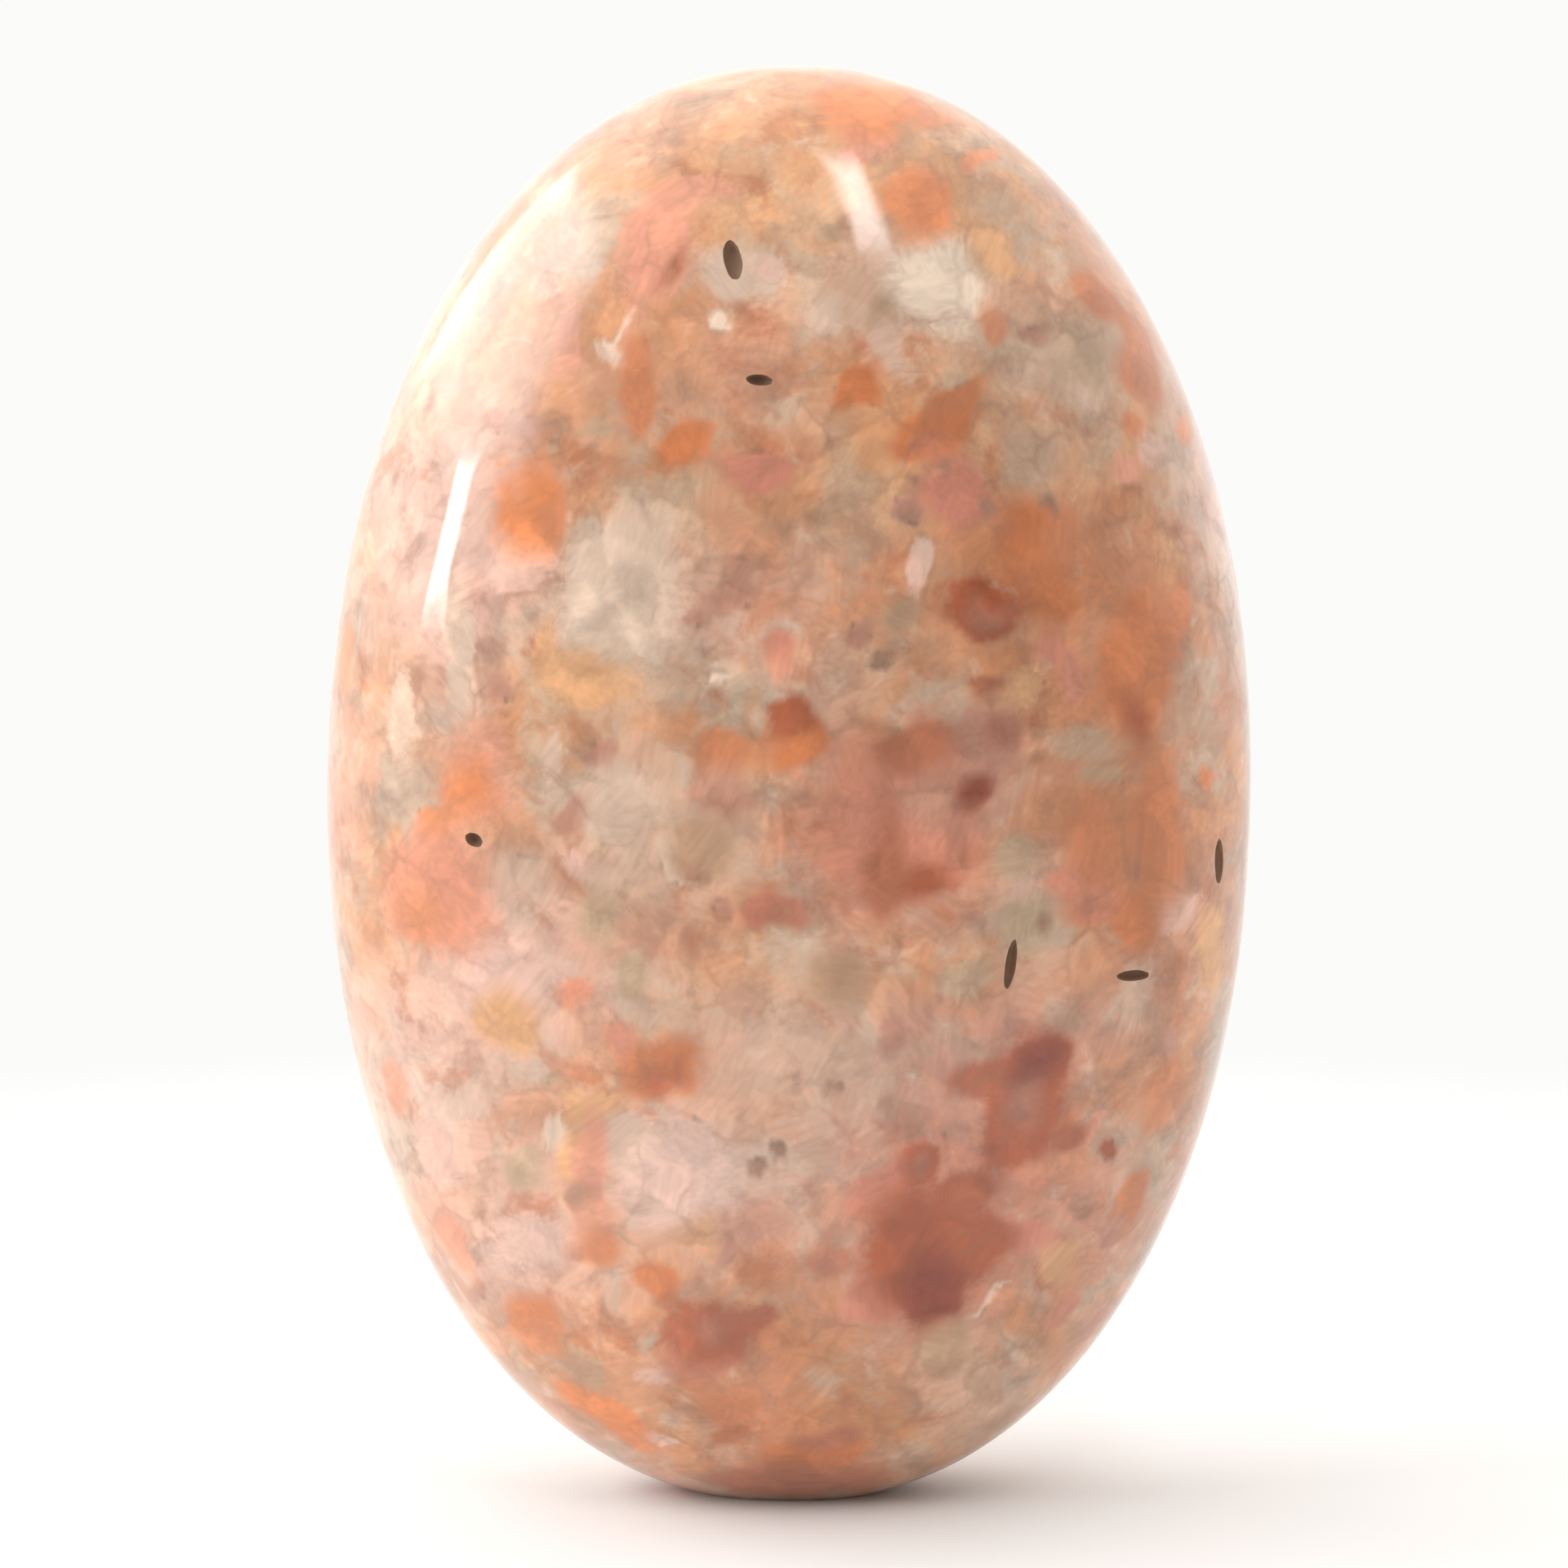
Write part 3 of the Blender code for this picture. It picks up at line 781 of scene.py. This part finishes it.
def cleavage(tree, place, grain_colour):
    """Fine parallel streaks, which run another way in each grain as its cleavage planes do."""
    axis = add(
        tree, "ShaderNodeVectorMath", {0: grain_colour, 1: (0.5, 0.5, 0.5)}, operation="SUBTRACT"
    )
    chance = add(tree, "ShaderNodeSeparateColor", {0: grain_colour})
    angle = add(
        tree, "ShaderNodeMath", {0: chance.outputs["Green"], 1: 2 * math.pi}, operation="MULTIPLY"
    )
    turned = add(
        tree,
        "ShaderNodeVectorRotate",
        {"Vector": place, "Axis": axis, "Angle": angle},
        rotation_type="AXIS_ANGLE",
    )
    drawn_out = add(
        tree,
        "ShaderNodeVectorMath",
        {0: turned, 1: (1 / CLEAVAGE_ACROSS, 1 / CLEAVAGE_ACROSS, 1 / CLEAVAGE_ALONG)},
        operation="MULTIPLY",
    )
    return add(tree, "ShaderNodeTexNoise", {"Vector": drawn_out, "Scale": 1.0, "Detail": 2.0})


def stained_and_painted_light(tree, place, colour, streaks):
    """The colour under its stains and the painted shade and highlights among them, whose soft amount is
    broken into ragged edges.
    """
    stain_and_painted_light = add(tree, "ShaderNodeAttribute", attribute_name="stain_and_painted_light")
    ragged = add(
        tree,
        "ShaderNodeTexNoise",
        {"Vector": place, "Scale": 1 / STAIN_EDGE, "Detail": 4.0, "Roughness": 0.65},
    )
    broken = add(tree, "ShaderNodeMath", {0: ragged, 1: streaks}, operation="ADD")
    moved = add(
        tree, "ShaderNodeMath", {0: broken, 1: 0.5, 2: stain_and_painted_light.outputs["Alpha"]}, operation="MULTIPLY_ADD"
    )
    start, full = STAIN_SHOWS
    cover = add(
        tree,
        "ShaderNodeMapRange",
        {"Value": moved, "From Min": start, "From Max": full},
        interpolation_type="SMOOTHSTEP",
    )
    return add(
        tree,
        "ShaderNodeMix",
        {"Factor": cover, "A": colour, "B": stain_and_painted_light.outputs["Color"]},
        data_type="RGBA",
    )


def stone_material():
    """Oligoclase feldspar full of hematite, ground and polished on all sides. Its body is slightly
    translucent, so light spreads under the surface, and the polish is a clear even gloss."""
    material = bpy.data.materials.new("polished sunstone feldspar")
    material.use_nodes = True
    tree = material.node_tree
    shader = tree.nodes["Principled BSDF"]
    place = add(tree, "ShaderNodeTexCoord").outputs["Object"]

    near = bent(tree, place)
    cells = add(
        tree, "ShaderNodeTexVoronoi", {"Vector": near, "Scale": 1 / GRAIN}
    )
    soft_cells = add(
        tree,
        "ShaderNodeTexVoronoi",
        {"Vector": near, "Scale": 1 / GRAIN, "Smoothness": 0.45},
        feature="SMOOTH_F1",
    )
    small_cells = add(
        tree,
        "ShaderNodeTexVoronoi",
        {"Vector": near, "Scale": 1 / FINE_GRAIN, "Smoothness": 0.5},
        feature="SMOOTH_F1",
    )
    streaks = cleavage(tree, place, cells.outputs["Color"])

    colour = clouded(tree, ground(tree, place))
    for spots in (BROWN_SMUDGES, RUST_HAZE, CREAM_WISPS):
        colour = mottled(tree, place, colour, *spots)
    colour = stained_and_painted_light(tree, place, colour, streaks)

    chance = add(tree, "ShaderNodeSeparateColor", {0: soft_cells.outputs["Color"]})
    tone = add(
        tree,
        "ShaderNodeMapRange",
        {"Value": chance.outputs["Red"], "To Min": GRAIN_TONES[0], "To Max": GRAIN_TONES[1]},
    )
    small_chance = add(tree, "ShaderNodeSeparateColor", {0: small_cells.outputs["Color"]})
    small_tone = add(
        tree,
        "ShaderNodeMapRange",
        {"Value": small_chance.outputs["Red"], "To Min": FINE_TONES[0], "To Max": FINE_TONES[1]},
    )
    streak_tone = add(
        tree,
        "ShaderNodeMapRange",
        {
            "Value": streaks,
            "From Min": 0.25,
            "From Max": 0.75,
            "To Min": STREAK_TONES[0],
            "To Max": STREAK_TONES[1],
        },
    )
    both = add(tree, "ShaderNodeMath", {0: tone, 1: streak_tone}, operation="MULTIPLY")
    all_three = add(tree, "ShaderNodeMath", {0: both, 1: small_tone}, operation="MULTIPLY")
    toned = add(
        tree, "ShaderNodeVectorMath", {0: colour, "Scale": all_three.outputs[0]}, operation="SCALE"
    )

    borders = add(
        tree, "ShaderNodeTexVoronoi", {"Vector": near, "Scale": 1 / GRAIN}, feature="DISTANCE_TO_EDGE"
    )
    line = add(
        tree,
        "ShaderNodeMapRange",
        {"Value": borders, "From Max": SEAM_WIDTH / GRAIN, "To Min": SEAM_STRENGTH, "To Max": 0.0},
    )
    broken = add(
        tree, "ShaderNodeTexNoise", {"Vector": place, "Scale": 1 / SEAM_BREAKS, "Detail": 3.0}
    )
    start, full = SEAM_SHOWS
    here = add(tree, "ShaderNodeMapRange", {"Value": broken, "From Min": start, "From Max": full})
    some = add(tree, "ShaderNodeMath", {0: line, 1: here}, operation="MULTIPLY")
    seamed = add(
        tree,
        "ShaderNodeMix",
        {"Factor": some, "A": toned, "B": linear(SEAM_BROWN)},
        data_type="RGBA",
    )
    pit = add(tree, "ShaderNodeAttribute", attribute_name="pit")
    pitted = add(
        tree,
        "ShaderNodeMix",
        {"Factor": pit.outputs["Fac"], "A": seamed, "B": linear(PIT_STAIN)},
        data_type="RGBA",
    )
    polish = add(tree, "ShaderNodeMath", {0: 1.0, 1: pit.outputs["Fac"]}, operation="SUBTRACT")
    tree.links.new(pitted.outputs["Result"], shader.inputs["Base Color"])
    tree.links.new(polish.outputs[0], shader.inputs["Coat Weight"])
    shader.inputs["Roughness"].default_value = 0.45
    shader.inputs["IOR"].default_value = 1.54
    shader.inputs["Specular IOR Level"].default_value = 0.2
    shader.inputs["Coat IOR"].default_value = 1.54
    shader.inputs["Coat Roughness"].default_value = 0.04
    shader.inputs["Subsurface Weight"].default_value = 0.25
    shader.inputs["Subsurface Scale"].default_value = 0.0022
    shader.inputs["Subsurface Radius"].default_value = (1.0, 0.5, 0.3)
    return material


# The studio

FLOOR_RADIUS = 0.125
FLOOR_FADE = 0.060
FLOOR_CORNERS = 96
FLOOR_WHITE = "dedddc"
BACKDROP = "fbfbf9"

# The room's white, and its strength along two directions: where a ramp starts and ends on the
# direction's Y or Z, and the strengths at its ends. It is brighter behind the stone and overhead.
ROOM_WHITE = "fffdfa"
ROOM_IN_DEPTH = (-0.8, 0.3, 0.42, 1.12)
ROOM_IN_HEIGHT = (-0.2, 1.0, 0.9, 1.5)
RAMP = ("From Min", "From Max", "To Min", "To Max")
LIGHT_DISTANCE = 1.2


def towards(azimuth, elevation):
    """Direction from the stone; azimuth 0 is the camera's side, and it grows to the right."""
    turn = math.radians(azimuth)
    rise = math.radians(elevation)
    return Vector((math.sin(turn) * math.cos(rise), -math.cos(turn) * math.cos(rise), math.sin(rise)))


# Each light's middle, what it faces, its width and height, its radiance and the share that its soft
# rim takes
WINDOW = (Vector((-0.9, 0.1, 0.70)), Vector((0.0, 0.1, 0.70)), 2.0, 0.85, 4.3, 0.2)
TUBE = (STONE_MIDDLE + towards(-72.0, 11.0) * LIGHT_DISTANCE, STONE_MIDDLE, 0.24, 0.34, 22.0, 0.35)
STRIP = (STONE_MIDDLE + towards(17.0, 55.0) * LIGHT_DISTANCE, STONE_MIDDLE, 0.20, 0.80, 11.0, 0.4)


def softbox(name, centre, facing, width, height, radiance, soft_rim):
    """A rectangular light that gives the radiance asked for, whatever its size. Its cloth is dimmer
    towards its rim, over the share of its width that soft_rim gives."""
    light = bpy.data.lights.new(name, "AREA")
    light.shape = "RECTANGLE"
    light.size = width
    light.size_y = height
    light.energy = radiance * math.pi * width * height
    light.use_nodes = True
    tree = light.node_tree
    inside = add(tree, "ShaderNodeNewGeometry").outputs["Parametric"]
    mirrored = add(tree, "ShaderNodeVectorMath", {0: (1.0, 1.0, 1.0), 1: inside}, operation="SUBTRACT")
    rim = add(tree, "ShaderNodeVectorMath", {0: inside, 1: mirrored}, operation="MINIMUM")
    ways = add(tree, "ShaderNodeSeparateXYZ", {0: rim})
    nearest = add(tree, "ShaderNodeMath", {0: ways.outputs["X"], 1: ways.outputs["Y"]}, operation="MINIMUM")
    glow = add(
        tree,
        "ShaderNodeMapRange",
        {"Value": nearest, "From Max": soft_rim},
        interpolation_type="SMOOTHSTEP",
    )
    tree.links.new(glow.outputs[0], tree.nodes["Emission"].inputs["Strength"])
    box = bpy.data.objects.new(name, light)
    box.location = centre
    box.rotation_euler = (centre - facing).to_track_quat("Z", "Y").to_euler()
    box.visible_camera = False
    bpy.context.scene.collection.objects.link(box)


def light_studio():
    """A long window light at the left, a narrow tube beside it, a strip overhead and a pale room."""
    softbox("window", *WINDOW)
    softbox("tube", *TUBE)
    softbox("overhead strip", *STRIP)

    world = bpy.data.worlds.new("pale room")
    world.use_nodes = True
    bpy.context.scene.world = world
    tree = world.node_tree
    tree.nodes.clear()
    direction = add(tree, "ShaderNodeTexCoord").outputs["Generated"]
    parts = add(tree, "ShaderNodeSeparateXYZ", {0: direction})
    in_depth = dict(zip(RAMP, ROOM_IN_DEPTH))
    depth = add(tree, "ShaderNodeMapRange", {"Value": parts.outputs["Y"], **in_depth})
    in_height = dict(zip(RAMP, ROOM_IN_HEIGHT))
    height = add(tree, "ShaderNodeMapRange", {"Value": parts.outputs["Z"], **in_height})
    brightness = add(tree, "ShaderNodeMath", {0: depth, 1: height}, operation="MULTIPLY")
    room = add(tree, "ShaderNodeBackground", {"Color": linear(ROOM_WHITE), "Strength": brightness})
    backdrop = add(tree, "ShaderNodeBackground", {"Color": linear(BACKDROP), "Strength": 1.0})
    path = add(tree, "ShaderNodeLightPath")
    seen = add(
        tree, "ShaderNodeMixShader", {0: path.outputs["Is Camera Ray"], 1: room, 2: backdrop}
    )
    add(tree, "ShaderNodeOutputWorld", {"Surface": seen})


def floor_material():
    """Matt white paper, which fades out where the pale backdrop takes over."""
    material = bpy.data.materials.new("matt white paper")
    material.use_nodes = True
    tree = material.node_tree
    shader = tree.nodes["Principled BSDF"]
    shader.inputs["Base Color"].default_value = linear(FLOOR_WHITE)
    shader.inputs["Roughness"].default_value = 0.7
    shader.inputs["Specular IOR Level"].default_value = 0.2
    place = add(tree, "ShaderNodeTexCoord").outputs["Object"]
    away = add(tree, "ShaderNodeVectorMath", {0: place}, operation="LENGTH")
    fade = add(
        tree,
        "ShaderNodeMapRange",
        {
            "Value": away.outputs["Value"],
            "From Min": FLOOR_FADE,
            "From Max": FLOOR_RADIUS,
            "To Min": 1.0,
            "To Max": 0.0,
        },
        interpolation_type="SMOOTHSTEP",
    )
    tree.links.new(fade.outputs[0], shader.inputs["Alpha"])
    return material


def lay_floor():
    """A round sheet that the stone stands on."""
    mesh = bpy.data.meshes.new("floor")
    turns = [2 * math.pi * step / FLOOR_CORNERS for step in range(FLOOR_CORNERS)]
    rim = [(FLOOR_RADIUS * math.cos(turn), FLOOR_RADIUS * math.sin(turn), 0.0) for turn in turns]
    mesh.from_pydata(rim, [], [tuple(range(FLOOR_CORNERS))])
    mesh.materials.append(floor_material())
    floor = bpy.data.objects.new("floor", mesh)
    bpy.context.scene.collection.objects.link(floor)
    return floor


def set_camera():
    """A long lens that looks a little down on the front, with the stone upright in the frame."""
    camera = bpy.data.cameras.new("camera")
    camera.lens = LENS_MM
    camera.sensor_width = SENSOR_MM
    camera.clip_start = 0.01
    camera.clip_end = 10.0
    view = bpy.data.objects.new("camera", camera)
    view.location = EYE + ACROSS * OFFSET_ACROSS + UP * OFFSET_UP
    view.rotation_euler = (math.radians(90.0) - LOOK_DOWN, 0.0, 0.0)
    bpy.context.scene.collection.objects.link(view)
    bpy.context.scene.camera = view


stone = shape_stone(stone_material())
mark_stone(stone)
light_studio()
floor = lay_floor()
set_camera()
bpy.context.scene.view_settings.view_transform = "Standard"

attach(stone, "root")
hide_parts(NODE)
